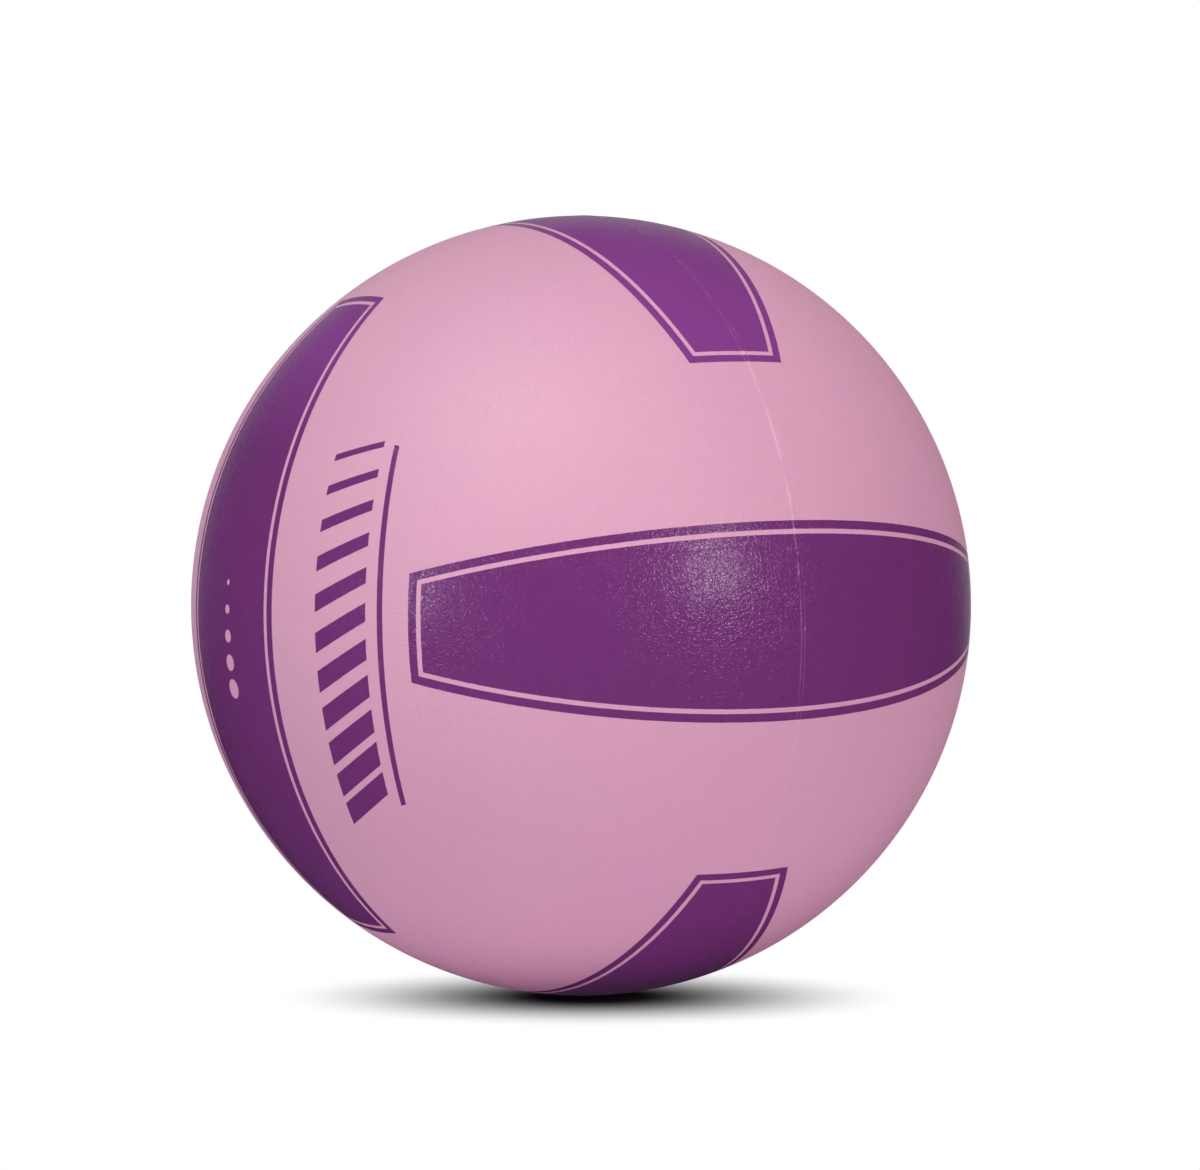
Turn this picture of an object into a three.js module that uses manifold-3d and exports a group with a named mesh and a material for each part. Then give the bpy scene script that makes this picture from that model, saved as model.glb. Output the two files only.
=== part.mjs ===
// Size 5 moulded rubber volleyball: 18 cover panels laid over a thread-wound carcass, an air
// bladder inside it and a needle valve. Millimetres, +Z up, origin at the ball's centre.
// The front face looks along +X and the valve along +Y. The two halves of the mould that the
// cover was cured in met in the plane Y = 0.
import * as THREE from 'three';
import { mergeVertices } from 'three/addons/utils/BufferGeometryUtils.js';
import Module from 'manifold-3d';

// The ball and its plies, from the outside in
const BALL_RADIUS = 105;
const COVER_THICKNESS = 1.1;
const WINDING_THICKNESS = 0.4;
const BLADDER_THICKNESS = 0.45;
const PLY_CLEARANCE = 0.3;

// Cover panels: each of six faces is a middle strip and two side strips
const MIDDLE_STRIP_HALF_WIDTH = 24.5;
const MIDDLE_STRIP_END_HALF_WIDTH = 15.7;
const PANEL_GAP = 0.3;
const GROOVE_HALF_WIDTH = 1.1;
const GROOVE_DEPTH = 0.25;

// Self-sealing core of the valve: a headed plug that its bulb holds in the valve body
const CORE_THROAT_RADIUS = 1.8;
const CORE_HEAD_STEP = 0.9;
const CORE_HEAD_DEPTH = 1.5;
const CORE_BULB_STEP = 0.6;
const CORE_BULB_LENGTH = 3.2;
const CORE_BULB_TAPER = 1.2;
const NEEDLE_WAY_RADIUS = 0.6;
const FUNNEL_WIDENING = 0.9;
const FUNNEL_DEPTH = 2.4;
const CORE_CLEARANCE = 0.3;

// Valve body: a neck that comes up through the plies, a domed flange under them, and a turret
// below the flange that closes round the core's bulb
const VALVE_RECESS = 0.3;
const NECK_RIM_WIDTH = 2;
const NECK_CLEARANCE = 0.3;
const FLANGE_WIDTH = 9;
const FLANGE_THICKNESS = 1.3;
const FLANGE_EDGE_THICKNESS = 0.6;
const TURRET_LENGTH = 7;
const TURRET_ROOT_WALL = 1.9;
const TURRET_TIP_WALL = 1.2;
const TURRET_FLOOR = 1.4;

// Reinforcing patch between the flange and the bladder
const PATCH_MARGIN = 6;
const PATCH_THICKNESS = 0.8;
const PATCH_EDGE_TAPER = 1.5;

// No facet of a spherical surface spans more than this along a side
const FACET_ANGLE = THREE.MathUtils.degToRad(8);
const VALVE_SEGMENTS = 24;
const SOLVE_PASSES = 12;

const wasm = await Module();
wasm.setup();

// A flat facet's middle lies deeper than its corners, by this share of the radius at most
const FACET_INSCRIBED = Math.cos(FACET_ANGLE * Math.SQRT1_2);

// Corner radii of each ply, worked inwards. The winding's corners don't lie under the panels'
// corners, so the winding starts below the panels' deepest facets.
const COVER_INNER = BALL_RADIUS - COVER_THICKNESS;
const WINDING_OUTER = COVER_INNER * FACET_INSCRIBED - PLY_CLEARANCE;
const WINDING_INNER = WINDING_OUTER - WINDING_THICKNESS;
const BLADDER_OUTER = WINDING_INNER - PLY_CLEARANCE;
const BLADDER_INNER = BLADDER_OUTER - BLADDER_THICKNESS;
const PATCH_OUTER = BLADDER_INNER * FACET_INSCRIBED - PLY_CLEARANCE;
const PATCH_INNER = PATCH_OUTER - PATCH_THICKNESS;
const FLANGE_OUTER = PATCH_INNER - PLY_CLEARANCE;
const FLANGE_INNER = FLANGE_OUTER - FLANGE_THICKNESS;

// Radii about the valve's axis, worked outwards from the core
const CORE_HEAD_RADIUS = CORE_THROAT_RADIUS + CORE_HEAD_STEP;
const CORE_BULB_RADIUS = CORE_THROAT_RADIUS + CORE_BULB_STEP;
const SOCKET_HEAD_RADIUS = CORE_HEAD_RADIUS + CORE_CLEARANCE;
const SOCKET_THROAT_RADIUS = CORE_THROAT_RADIUS + CORE_CLEARANCE;
const SOCKET_BULB_RADIUS = CORE_BULB_RADIUS + CORE_CLEARANCE;
const NECK_RADIUS = SOCKET_HEAD_RADIUS + NECK_RIM_WIDTH;
const NECK_HOLE_RADIUS = NECK_RADIUS + NECK_CLEARANCE;
const FLANGE_RADIUS = NECK_RADIUS + FLANGE_WIDTH;
const PATCH_RADIUS = FLANGE_RADIUS + PATCH_MARGIN;

// Heights of the valve's levels along +Y
const VALVE_FACE_Y = Math.sqrt(BALL_RADIUS ** 2 - NECK_RADIUS ** 2) - VALVE_RECESS;
const SOCKET_SEAT_Y = VALVE_FACE_Y - CORE_HEAD_DEPTH - CORE_CLEARANCE;
const TURRET_TIP_Y = FLANGE_INNER - TURRET_LENGTH;
const SOCKET_FLOOR_Y = TURRET_TIP_Y + TURRET_FLOOR;
const SOCKET_BULB_TOP_Y = SOCKET_FLOOR_Y + CORE_BULB_LENGTH + 2 * CORE_CLEARANCE;

const X = new THREE.Vector3(1, 0, 0);
const Y = new THREE.Vector3(0, 1, 0);
const Z = new THREE.Vector3(0, 0, 1);

// The six faces, each with the direction it looks in and the direction its strips run in. Across
// the face is out x along, and the side strips are named from the low side to the high side.
const FACES = [
  { name: 'front', out: X, along: Y, sides: ['lower', 'upper'] },
  { name: 'back', out: X.clone().negate(), along: Y, sides: ['upper', 'lower'] },
  { name: 'top', out: Z, along: X, sides: ['left', 'right'] },
  { name: 'bottom', out: Z.clone().negate(), along: X, sides: ['right', 'left'] },
  { name: 'right', out: Y, along: Z, sides: ['back', 'front'] },
  { name: 'left', out: Y.clone().negate(), along: Z, sides: ['front', 'back'] },
];

const rubber = (color, roughness) => new THREE.MeshStandardMaterial({ color, roughness, metalness: 0 });
const coverPink = rubber(0xd9a1bd, 0.5);
const windingWhite = rubber(0xe6e2d6, 0.85);
const bladderBlack = rubber(0x1e1e20, 0.6);
const valveBlack = rubber(0x26242a, 0.55);
const corePale = rubber(0xd8d2c4, 0.5);

const volleyball = new THREE.Group();

function addPiece(name, geometry, material) {
  const piece = new THREE.Mesh(geometry, material.clone());
  piece.name = name;
  volleyball.add(piece);
}

function toSolid(geometry) {
  const bare = geometry.clone();
  bare.deleteAttribute('normal');
  bare.deleteAttribute('uv');
  const merged = mergeVertices(bare);
  const mesh = new wasm.Mesh({
    numProp: 3,
    vertProperties: new Float32Array(merged.attributes.position.array),
    triVerts: new Uint32Array(merged.index.array),
  });
  return new wasm.Manifold(mesh);
}

function toGeometry(solid) {
  const mesh = solid.getMesh();
  const geometry = new THREE.BufferGeometry();
  geometry.setAttribute('position', new THREE.BufferAttribute(mesh.vertProperties, 3));
  geometry.setIndex(new THREE.BufferAttribute(mesh.triVerts, 1));
  geometry.computeVertexNormals();
  return geometry;
}

// Layout of the panels on a unit ball. Every panel edge lies in a plane: the faces meet where
// one of their coordinates is 1/sqrt(3), and a middle strip meets a side strip in the slanted
// plane across = slope * out + offset, which passes through the strip's two half widths.
const FACE_EDGE = 1 / Math.sqrt(3);
const middleAngle = MIDDLE_STRIP_HALF_WIDTH / BALL_RADIUS;
const endAngle = MIDDLE_STRIP_END_HALF_WIDTH / BALL_RADIUS;
const jointSlope = (Math.sin(middleAngle) - Math.sin(endAngle)) / (Math.cos(middleAngle) - FACE_EDGE);
const jointOffset = Math.sin(middleAngle) - jointSlope * Math.cos(middleAngle);
const jointSteepness = Math.hypot(1, jointSlope);

// Latitude across the face of the joint between a middle and a side strip, at a longitude along
// the face. The joint is moved outwards over the surface by the angle shift.
function jointLatitude(longitude, shift) {
  const level = jointSteepness * Math.cos(Math.acos(jointOffset / jointSteepness) - shift);
  const tilt = jointSlope * Math.cos(longitude);
  return Math.atan(tilt) + Math.asin(level / Math.hypot(1, tilt));
}

function faceSideLatitude(inset) {
  return Math.asin(FACE_EDGE) - inset;
}

function faceEndLongitude(latitude, inset) {
  const endLevel = Math.cos(Math.acos(FACE_EDGE) - inset);
  return Math.acos(endLevel / Math.cos(latitude));
}

// Each strip's two long edges as latitudes, drawn in by the angle inset
const STRIPS = {
  middle: (longitude, inset) => {
    const edge = jointLatitude(longitude, -inset);
    return [-edge, edge];
  },
  low: (longitude, inset) => [-faceSideLatitude(inset), -jointLatitude(longitude, inset)],
  high: (longitude, inset) => [jointLatitude(longitude, inset), faceSideLatitude(inset)],
};

// Point of a strip at a radius. alongShare runs from -1 to 1 between the face's two ends and
// acrossShare from 0 to 1 between the strip's long edges. Ends and edges depend a little on each
// other, so the two angles are settled in turn.
function stripPoint(face, stripEdges, alongShare, acrossShare, inset, radius) {
  let longitude = 0;
  let latitude = 0;
  for (let pass = 0; pass < SOLVE_PASSES; pass++) {
    const [low, high] = stripEdges(longitude, inset);
    latitude = THREE.MathUtils.lerp(low, high, acrossShare);
    longitude = alongShare * faceEndLongitude(latitude, inset);
  }
  const across = new THREE.Vector3().crossVectors(face.out, face.along);
  return new THREE.Vector3()
    .addScaledVector(face.out, Math.cos(latitude) * Math.cos(longitude))
    .addScaledVector(face.along, Math.cos(latitude) * Math.sin(longitude))
    .addScaledVector(across, Math.sin(latitude))
    .multiplyScalar(radius);
}

// An even count, so that a middle strip has a corner on the face's own axis
const evenSteps = (angle) => 2 * Math.ceil(angle / FACET_ANGLE / 2);
const ALONG_STEPS = evenSteps(2 * Math.acos(FACE_EDGE));
const MIDDLE_STEPS = evenSteps(2 * middleAngle);
const SIDE_STEPS = Math.ceil((Math.asin(FACE_EDGE) - endAngle) / FACET_ANGLE);

// A cover panel: an outer sheet, an inner sheet, and a rim that steps down from the outer sheet
// into the shallow groove along the joints and then goes straight in to the inner sheet.
function panelGeometry(face, stripEdges, acrossSteps) {
  const points = [];
  const triangles = [];
  const rimInset = PANEL_GAP / 2 / BALL_RADIUS;
  const crownInset = rimInset + GROOVE_HALF_WIDTH / BALL_RADIUS;
  const addPoint = (i, j, inset, radius) => {
    const alongShare = (2 * i) / ALONG_STEPS - 1;
    points.push(stripPoint(face, stripEdges, alongShare, j / acrossSteps, inset, radius));
    return points.length - 1;
  };
  const addQuad = (a, b, c, d) => triangles.push(a, b, c, a, c, d);
  const addSheet = (inset, radius) => {
    const sheet = [];
    for (let i = 0; i <= ALONG_STEPS; i++) {
      sheet.push([]);
      for (let j = 0; j <= acrossSteps; j++) sheet[i].push(addPoint(i, j, inset, radius));
    }
    return sheet;
  };

  // Steps round the sheet's border, anticlockwise as seen from outside the ball
  const border = [];
  for (let i = 0; i < ALONG_STEPS; i++) border.push([i, 0]);
  for (let j = 0; j < acrossSteps; j++) border.push([ALONG_STEPS, j]);
  for (let i = ALONG_STEPS; i > 0; i--) border.push([i, acrossSteps]);
  for (let j = acrossSteps; j > 0; j--) border.push([0, j]);

  const outer = addSheet(crownInset, BALL_RADIUS);
  const inner = addSheet(rimInset, COVER_INNER);
  const lip = border.map(([i, j]) => addPoint(i, j, rimInset, BALL_RADIUS - GROOVE_DEPTH));
  for (let i = 0; i < ALONG_STEPS; i++) {
    for (let j = 0; j < acrossSteps; j++) {
      addQuad(outer[i][j], outer[i + 1][j], outer[i + 1][j + 1], outer[i][j + 1]);
      addQuad(inner[i][j], inner[i][j + 1], inner[i + 1][j + 1], inner[i + 1][j]);
    }
  }
  border.forEach(([i, j], k) => {
    const next = (k + 1) % border.length;
    const [ni, nj] = border[next];
    addQuad(outer[i][j], lip[k], lip[next], outer[ni][nj]);
    addQuad(lip[k], inner[i][j], inner[ni][nj], lip[next]);
  });

  const geometry = new THREE.BufferGeometry().setFromPoints(points);
  geometry.setIndex(triangles);
  geometry.computeVertexNormals();
  return geometry;
}

// Straight cutter along +Y for the hole that the valve's neck passes through
function neckCutter() {
  const cutter = new THREE.CylinderGeometry(
    NECK_HOLE_RADIUS,
    NECK_HOLE_RADIUS,
    BALL_RADIUS,
    VALVE_SEGMENTS,
  );
  return toSolid(cutter.translate(0, BALL_RADIUS, 0));
}

// Spherical ply with the valve hole through it. All plies share one pattern of facets, so each
// lies parallel to the next.
function plyGeometry(outerRadius, innerRadius) {
  const icosahedronEdge = Math.atan(2);
  const splits = Math.ceil(icosahedronEdge / FACET_ANGLE) - 1;
  const outer = toSolid(new THREE.IcosahedronGeometry(outerRadius, splits));
  const inner = toSolid(new THREE.IcosahedronGeometry(innerRadius, splits));
  return toGeometry(outer.subtract(inner).subtract(neckCutter()));
}

// Points of a profile along a sphere's surface, from one distance off the valve's axis to another
function domeArc(radius, fromRadius, toRadius) {
  const start = Math.asin(fromRadius / radius);
  const end = Math.asin(toRadius / radius);
  const steps = Math.max(2, Math.ceil(Math.abs(end - start) / (FACET_ANGLE / 2)));
  return Array.from({ length: steps + 1 }, (_, k) => {
    const angle = THREE.MathUtils.lerp(start, end, k / steps);
    return new THREE.Vector2(radius * Math.sin(angle), radius * Math.cos(angle));
  });
}

// Ring turned about the valve's axis from an open list of profile points, listed anticlockwise
function turned(points) {
  const profile = [...points, points[0]];
  return toGeometry(toSolid(new THREE.LatheGeometry(profile, VALVE_SEGMENTS)));
}

const at = (radius, y) => new THREE.Vector2(radius, y);
const onDome = (domeRadius, radius) => at(radius, Math.sqrt(domeRadius ** 2 - radius ** 2));

function patchGeometry() {
  return turned([
    ...domeArc(PATCH_INNER, NECK_HOLE_RADIUS, PATCH_RADIUS - PATCH_EDGE_TAPER),
    ...domeArc(PATCH_OUTER, PATCH_RADIUS, NECK_HOLE_RADIUS),
  ]);
}

// The socket inside the body follows the core's outline
function valveBodyGeometry() {
  return turned([
    at(NEEDLE_WAY_RADIUS, TURRET_TIP_Y),
    at(SOCKET_BULB_RADIUS + TURRET_TIP_WALL, TURRET_TIP_Y),
    onDome(FLANGE_INNER, SOCKET_BULB_RADIUS + TURRET_ROOT_WALL),
    onDome(FLANGE_OUTER - FLANGE_EDGE_THICKNESS, FLANGE_RADIUS),
    ...domeArc(FLANGE_OUTER, FLANGE_RADIUS, NECK_RADIUS),
    at(NECK_RADIUS, VALVE_FACE_Y),
    at(SOCKET_HEAD_RADIUS, VALVE_FACE_Y),
    at(SOCKET_HEAD_RADIUS, SOCKET_SEAT_Y),
    at(SOCKET_THROAT_RADIUS, SOCKET_SEAT_Y),
    at(SOCKET_THROAT_RADIUS, SOCKET_BULB_TOP_Y),
    at(SOCKET_BULB_RADIUS, SOCKET_BULB_TOP_Y - CORE_BULB_TAPER),
    at(SOCKET_BULB_RADIUS, SOCKET_FLOOR_Y),
    at(NEEDLE_WAY_RADIUS, SOCKET_FLOOR_Y),
  ]);
}

function valveCoreGeometry() {
  const floorY = SOCKET_FLOOR_Y + CORE_CLEARANCE;
  const bulbTopY = SOCKET_BULB_TOP_Y - CORE_CLEARANCE;
  const headY = SOCKET_SEAT_Y + CORE_CLEARANCE;
  return turned([
    at(NEEDLE_WAY_RADIUS, floorY),
    at(CORE_BULB_RADIUS, floorY),
    at(CORE_BULB_RADIUS, bulbTopY - CORE_BULB_TAPER),
    at(CORE_THROAT_RADIUS, bulbTopY),
    at(CORE_THROAT_RADIUS, headY),
    at(CORE_HEAD_RADIUS, headY),
    at(CORE_HEAD_RADIUS, VALVE_FACE_Y),
    at(NEEDLE_WAY_RADIUS + FUNNEL_WIDENING, VALVE_FACE_Y),
    at(NEEDLE_WAY_RADIUS, VALVE_FACE_Y - FUNNEL_DEPTH),
  ]);
}

// Cover: three panels on each face, with the valve hole through the right face's middle panel
for (const face of FACES) {
  const strips = [
    { side: 'middle', edges: STRIPS.middle, steps: MIDDLE_STEPS },
    { side: face.sides[0], edges: STRIPS.low, steps: SIDE_STEPS },
    { side: face.sides[1], edges: STRIPS.high, steps: SIDE_STEPS },
  ];
  for (const { side, edges, steps } of strips) {
    const panel = panelGeometry(face, edges, steps);
    const holdsValve = face.out === Y && side === 'middle';
    const geometry = holdsValve ? toGeometry(toSolid(panel).subtract(neckCutter())) : panel;
    addPiece(`cover_${face.name}_${side}`, geometry, coverPink);
  }
}

addPiece('winding', plyGeometry(WINDING_OUTER, WINDING_INNER), windingWhite);
addPiece('bladder', plyGeometry(BLADDER_OUTER, BLADDER_INNER), bladderBlack);
addPiece('valve_patch', patchGeometry(), bladderBlack);
addPiece('valve_body', valveBodyGeometry(), valveBlack);
addPiece('valve_core', valveCoreGeometry(), corePale);

export default volleyball;
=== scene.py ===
"""A size 5 moulded rubber volleyball: 18 cover panels over a thread-wound carcass, with an air
bladder and a needle valve, as a studio photograph shows it. Metres, +Z up, with the origin at the
ball's centre, the front face looking along +X and the valve along +Y."""
from math import acos, asin, atan, atan2, cos, hypot, pi, radians, sin, sqrt

import bmesh
import bpy
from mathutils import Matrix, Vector, noise


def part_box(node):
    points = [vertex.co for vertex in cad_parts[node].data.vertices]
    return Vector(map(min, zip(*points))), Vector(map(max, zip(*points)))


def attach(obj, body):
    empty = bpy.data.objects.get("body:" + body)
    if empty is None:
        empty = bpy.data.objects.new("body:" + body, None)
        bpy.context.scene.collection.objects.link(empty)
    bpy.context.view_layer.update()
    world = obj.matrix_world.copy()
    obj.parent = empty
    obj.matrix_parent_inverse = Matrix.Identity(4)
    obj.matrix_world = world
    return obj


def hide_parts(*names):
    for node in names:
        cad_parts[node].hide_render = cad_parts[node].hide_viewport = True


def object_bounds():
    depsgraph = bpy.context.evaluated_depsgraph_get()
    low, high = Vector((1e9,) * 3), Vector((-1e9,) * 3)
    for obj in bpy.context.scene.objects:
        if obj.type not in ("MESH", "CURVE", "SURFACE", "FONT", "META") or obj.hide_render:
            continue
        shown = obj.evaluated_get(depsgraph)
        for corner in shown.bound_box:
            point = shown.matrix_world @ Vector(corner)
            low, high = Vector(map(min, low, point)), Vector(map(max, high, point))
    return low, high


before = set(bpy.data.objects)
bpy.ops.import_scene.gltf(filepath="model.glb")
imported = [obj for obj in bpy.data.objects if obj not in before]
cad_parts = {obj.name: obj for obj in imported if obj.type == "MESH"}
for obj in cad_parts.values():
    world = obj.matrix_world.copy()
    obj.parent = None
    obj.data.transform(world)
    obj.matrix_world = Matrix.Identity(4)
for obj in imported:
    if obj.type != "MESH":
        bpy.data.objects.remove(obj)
cad_low, cad_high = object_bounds()
scene = bpy.context.scene
scene.view_settings.view_transform = "Standard"

# Camera. A long lens just under a metre away, a little above the ball's middle, looks past the
# corner between the front and the left face. The ball stands left of and below the picture's centre.
CAMERA_AZIMUTH = radians(58.7)
CAMERA_ELEVATION = radians(5.55)
CAMERA_DISTANCE = 0.9574
CAMERA_LENS = 106.05
CAMERA_SENSOR_WIDTH = 36
CAMERA_SHIFT_X, CAMERA_SHIFT_Y = 0.01576, 0.01715


def direction(azimuth, elevation):
    """Unit vector towards a place seen at an azimuth round the ball and a height over the horizon."""
    flat = cos(elevation)
    return Vector((sin(azimuth) * flat, -cos(azimuth) * flat, sin(elevation)))


camera = bpy.data.objects.new("camera", bpy.data.cameras.new("camera"))
scene.collection.objects.link(camera)
scene.camera = camera
camera.data.lens = CAMERA_LENS
camera.data.sensor_width = CAMERA_SENSOR_WIDTH
camera.data.shift_x = CAMERA_SHIFT_X
camera.data.shift_y = CAMERA_SHIFT_Y
toward_camera = direction(CAMERA_AZIMUTH, CAMERA_ELEVATION)
camera.location = toward_camera * CAMERA_DISTANCE
camera.rotation_euler = (-toward_camera).to_track_quat("-Z", "Y").to_euler()

# Lamps. Softboxes round the ball: a large key over the front corner, a smaller one at each side
# that makes the ink glint, and three weak ones high at the right and behind, which are kept out of
# the gloss.
SOFTBOXES = {
    # name: azimuth and elevation in degrees, distance, width, height, watts, colour, in the gloss
    "key": (30, 56, 1.2, 0.70, 0.60, 9.2, (0.94, 1.0, 0.93), True),
    "right_glint": (96, 15, 1.3, 0.30, 0.37, 3.35, (1.0, 0.90, 0.90), True),
    "left_glint": (15, 8, 1.4, 0.14, 0.32, 1.5, (0.95, 0.95, 1.0), True),
    "right_high": (110, 45, 1.3, 0.60, 0.60, 1.4, (1.0, 0.76, 0.77), False),
    "back_right": (195, 25, 1.4, 1.00, 1.00, 4.5, (1.0, 0.88, 0.87), False),
    "back_left": (282, 20, 1.4, 1.00, 1.00, 4.0, (0.95, 0.95, 1.0), False),
}

for name, (azimuth, elevation, distance, width, height, watts, colour, glossy) in SOFTBOXES.items():
    lamp = bpy.data.lights.new(name, "AREA")
    lamp.shape = "RECTANGLE"
    lamp.size, lamp.size_y = width, height
    lamp.energy = watts
    lamp.color = colour
    softbox = bpy.data.objects.new(name, lamp)
    softbox.visible_camera = False
    softbox.visible_glossy = glossy
    toward_lamp = direction(radians(azimuth), radians(elevation))
    softbox.location = toward_lamp * distance
    softbox.rotation_euler = toward_lamp.to_track_quat("Z", "Y").to_euler()
    scene.collection.objects.link(softbox)


def wired(tree, kind, inputs=None, **settings):
    """A shader node with its settings, and with each named input linked to a socket or given a value."""
    node = tree.nodes.new("ShaderNode" + kind)
    for setting, value in settings.items():
        setattr(node, setting, value)
    for name, value in (inputs or {}).items():
        if isinstance(value, bpy.types.NodeSocket):
            tree.links.new(value, node.inputs[name])
        else:
            node.inputs[name].default_value = value
    return node


def math(tree, operation, *values):
    return wired(tree, "Math", dict(enumerate(values)), operation=operation).outputs[0]


def seen_rays(tree):
    """1 for the rays that look at the backdrop, straight, in a gloss or through glass, and 0 for
    light."""
    path = wired(tree, "LightPath")
    straight = math(tree, "MAXIMUM", path.outputs["Is Camera Ray"], path.outputs["Is Glossy Ray"])
    return math(tree, "MAXIMUM", straight, path.outputs["Is Transmission Ray"])


# Backdrop. The world is a plain white studio wall where it is seen, and a dim even light otherwise.
AMBIENT = (0.138, 0.116, 0.153, 1)

world = bpy.data.worlds.new("studio")
scene.world = world
world.use_nodes = True
tree = world.node_tree
tree.nodes.clear()
ambient = wired(tree, "Background", {"Color": AMBIENT, "Strength": 1.0})
backdrop = wired(tree, "Background", {"Color": (1, 1, 1, 1), "Strength": 1.0})
shown = wired(tree, "MixShader", {0: seen_rays(tree), 1: ambient.outputs[0], 2: backdrop.outputs[0]})
wired(tree, "OutputWorld", {"Surface": shown.outputs[0]})

# Floor. A white table under the ball, which gives a little light back to it from below: it reflects
# some, and for the rays that light the ball it also glows a little, a painted fill. Where the table is
# seen, a flat soft painted shadow lies round the point where the ball stands, wider than deep, and turns
# into the plain white of the backdrop.
FLOOR_RADIUS = 4.0
FLOOR_TURNS = 96
FLOOR_WHITE = (0.92, 0.92, 0.92, 1)
TABLE_FILL_GLOW = (0.10, 0.078, 0.125, 1)
SHADOW_CORE = (0.06, 0.06, 0.06, 1)
SHADOW_HALF_WIDTH = 0.0875
SHADOW_HALF_DEPTH = 0.0396
SHADOW_CORE_SHARE = 0.16
SHADOW_FORWARD = 0.012
SHADOW_TO_THE_RIGHT = 0.0024

tools = bmesh.new()
bmesh.ops.create_circle(tools, cap_ends=True, segments=FLOOR_TURNS, radius=FLOOR_RADIUS)
bmesh.ops.translate(tools, verts=tools.verts, vec=(0, 0, cad_low.z))
floor_mesh = bpy.data.meshes.new("floor")
tools.to_mesh(floor_mesh)
tools.free()
floor = bpy.data.objects.new("floor", floor_mesh)
scene.collection.objects.link(floor)

table_top = bpy.data.materials.new("white_table")
table_top.use_nodes = True
tree = table_top.node_tree
tree.nodes.clear()
place = wired(tree, "TexCoord").outputs["Object"]
beside = wired(tree, "VectorMath", {0: place, 1: (1, 1, 0)}, operation="MULTIPLY").outputs[0]
oval = wired(tree, "Mapping", {"Vector": beside}, vector_type="TEXTURE")
oval.inputs["Location"].default_value = (
    sin(CAMERA_AZIMUTH) * SHADOW_FORWARD + cos(CAMERA_AZIMUTH) * SHADOW_TO_THE_RIGHT,
    sin(CAMERA_AZIMUTH) * SHADOW_TO_THE_RIGHT - cos(CAMERA_AZIMUTH) * SHADOW_FORWARD,
    0,
)
oval.inputs["Rotation"].default_value = (0, 0, CAMERA_AZIMUTH)
oval.inputs["Scale"].default_value = (SHADOW_HALF_WIDTH, SHADOW_HALF_DEPTH, 1)
reach = wired(tree, "VectorMath", {0: oval.outputs[0]}, operation="LENGTH").outputs["Value"]
fade = wired(
    tree,
    "MapRange",
    {"Value": reach, "From Min": SHADOW_CORE_SHARE},
    interpolation_type="SMOOTHSTEP",
)
seen = seen_rays(tree)
# Painted shadow: seen near the ball, the table takes the dark colour of the shadow's core, which fades
# outward into the white glow.
tone = wired(tree, "Mix", {0: seen, 6: FLOOR_WHITE, 7: SHADOW_CORE}, data_type="RGBA")
matte = wired(tree, "BsdfDiffuse", {"Color": tone.outputs[2]})
glow = wired(tree, "Emission", {"Color": (1, 1, 1, 1), "Strength": 1.0})
far_and_seen = math(tree, "MULTIPLY", fade.outputs[0], seen)
surface = wired(tree, "MixShader", {0: far_and_seen, 1: matte.outputs[0], 2: glow.outputs[0]})
# Painted fill light: for the rays that light the ball, the table glows a little.
unseen = math(tree, "SUBTRACT", 1.0, seen)
fill_glow = wired(tree, "Emission", {"Color": TABLE_FILL_GLOW, "Strength": unseen})
lit = wired(tree, "AddShader", {0: surface.outputs[0], 1: fill_glow.outputs[0]})
wired(tree, "OutputMaterial", {"Surface": lit.outputs[0]})
floor_mesh.materials.append(table_top)

# Walls. Dark cloth hangs all round and lies under the ball, and the wall and the table behind the ball
# are pale and fade into it. No lamp lights them: they glow by themselves, and are seen in the gloss
# only, as a painted reflection, a soft haze along the rim.
CLOTH_DISTANCE = 1.6
CLOTH_OVER_TABLE = 0.0005
CLOTH_TURNS, CLOTH_RINGS = 48, 24
CLOTH_DARK = (0.02, 0.02, 0.02, 1)
WALL_PALE = (0.27, 0.27, 0.27, 1)
WALL_PALE_WITHIN, WALL_DARK_BEYOND = radians(22), radians(41)
TABLE_PALE_FROM, TABLE_DARK_BELOW = radians(-6), radians(-22)

tools = bmesh.new()
bmesh.ops.create_uvsphere(
    tools, u_segments=CLOTH_TURNS, v_segments=CLOTH_RINGS, radius=CLOTH_DISTANCE
)
cut = bmesh.ops.bisect_plane(
    tools,
    geom=tools.verts[:] + tools.edges[:] + tools.faces[:],
    plane_co=(0, 0, cad_low.z + CLOTH_OVER_TABLE),
    plane_no=(0, 0, -1),
    clear_outer=True,
)["geom_cut"]
rim = [edge for edge in cut if isinstance(edge, bmesh.types.BMEdge)]
bmesh.ops.contextual_create(tools, geom=rim)
walls_mesh = bpy.data.meshes.new("walls")
tools.to_mesh(walls_mesh)
tools.free()

glowing_cloth = bpy.data.materials.new("glowing_cloth")
glowing_cloth.use_nodes = True
tree = glowing_cloth.node_tree
tree.nodes.clear()
place = wired(tree, "TexCoord").outputs["Object"]
toward = wired(tree, "VectorMath", {0: place}, operation="NORMALIZE").outputs[0]
away_from_camera = -direction(CAMERA_AZIMUTH, 0)
behind = wired(tree, "VectorMath", {0: toward, 1: away_from_camera}, operation="DOT_PRODUCT")
pale = wired(
    tree,
    "MapRange",
    {
        "Value": behind.outputs["Value"],
        "From Min": cos(WALL_DARK_BEYOND),
        "From Max": cos(WALL_PALE_WITHIN),
    },
    interpolation_type="SMOOTHSTEP",
)
height = wired(tree, "SeparateXYZ", {0: toward}).outputs["Z"]
off_the_foot = wired(
    tree,
    "MapRange",
    {"Value": height, "From Min": sin(TABLE_DARK_BELOW), "From Max": sin(TABLE_PALE_FROM)},
    interpolation_type="SMOOTHSTEP",
)
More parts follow.
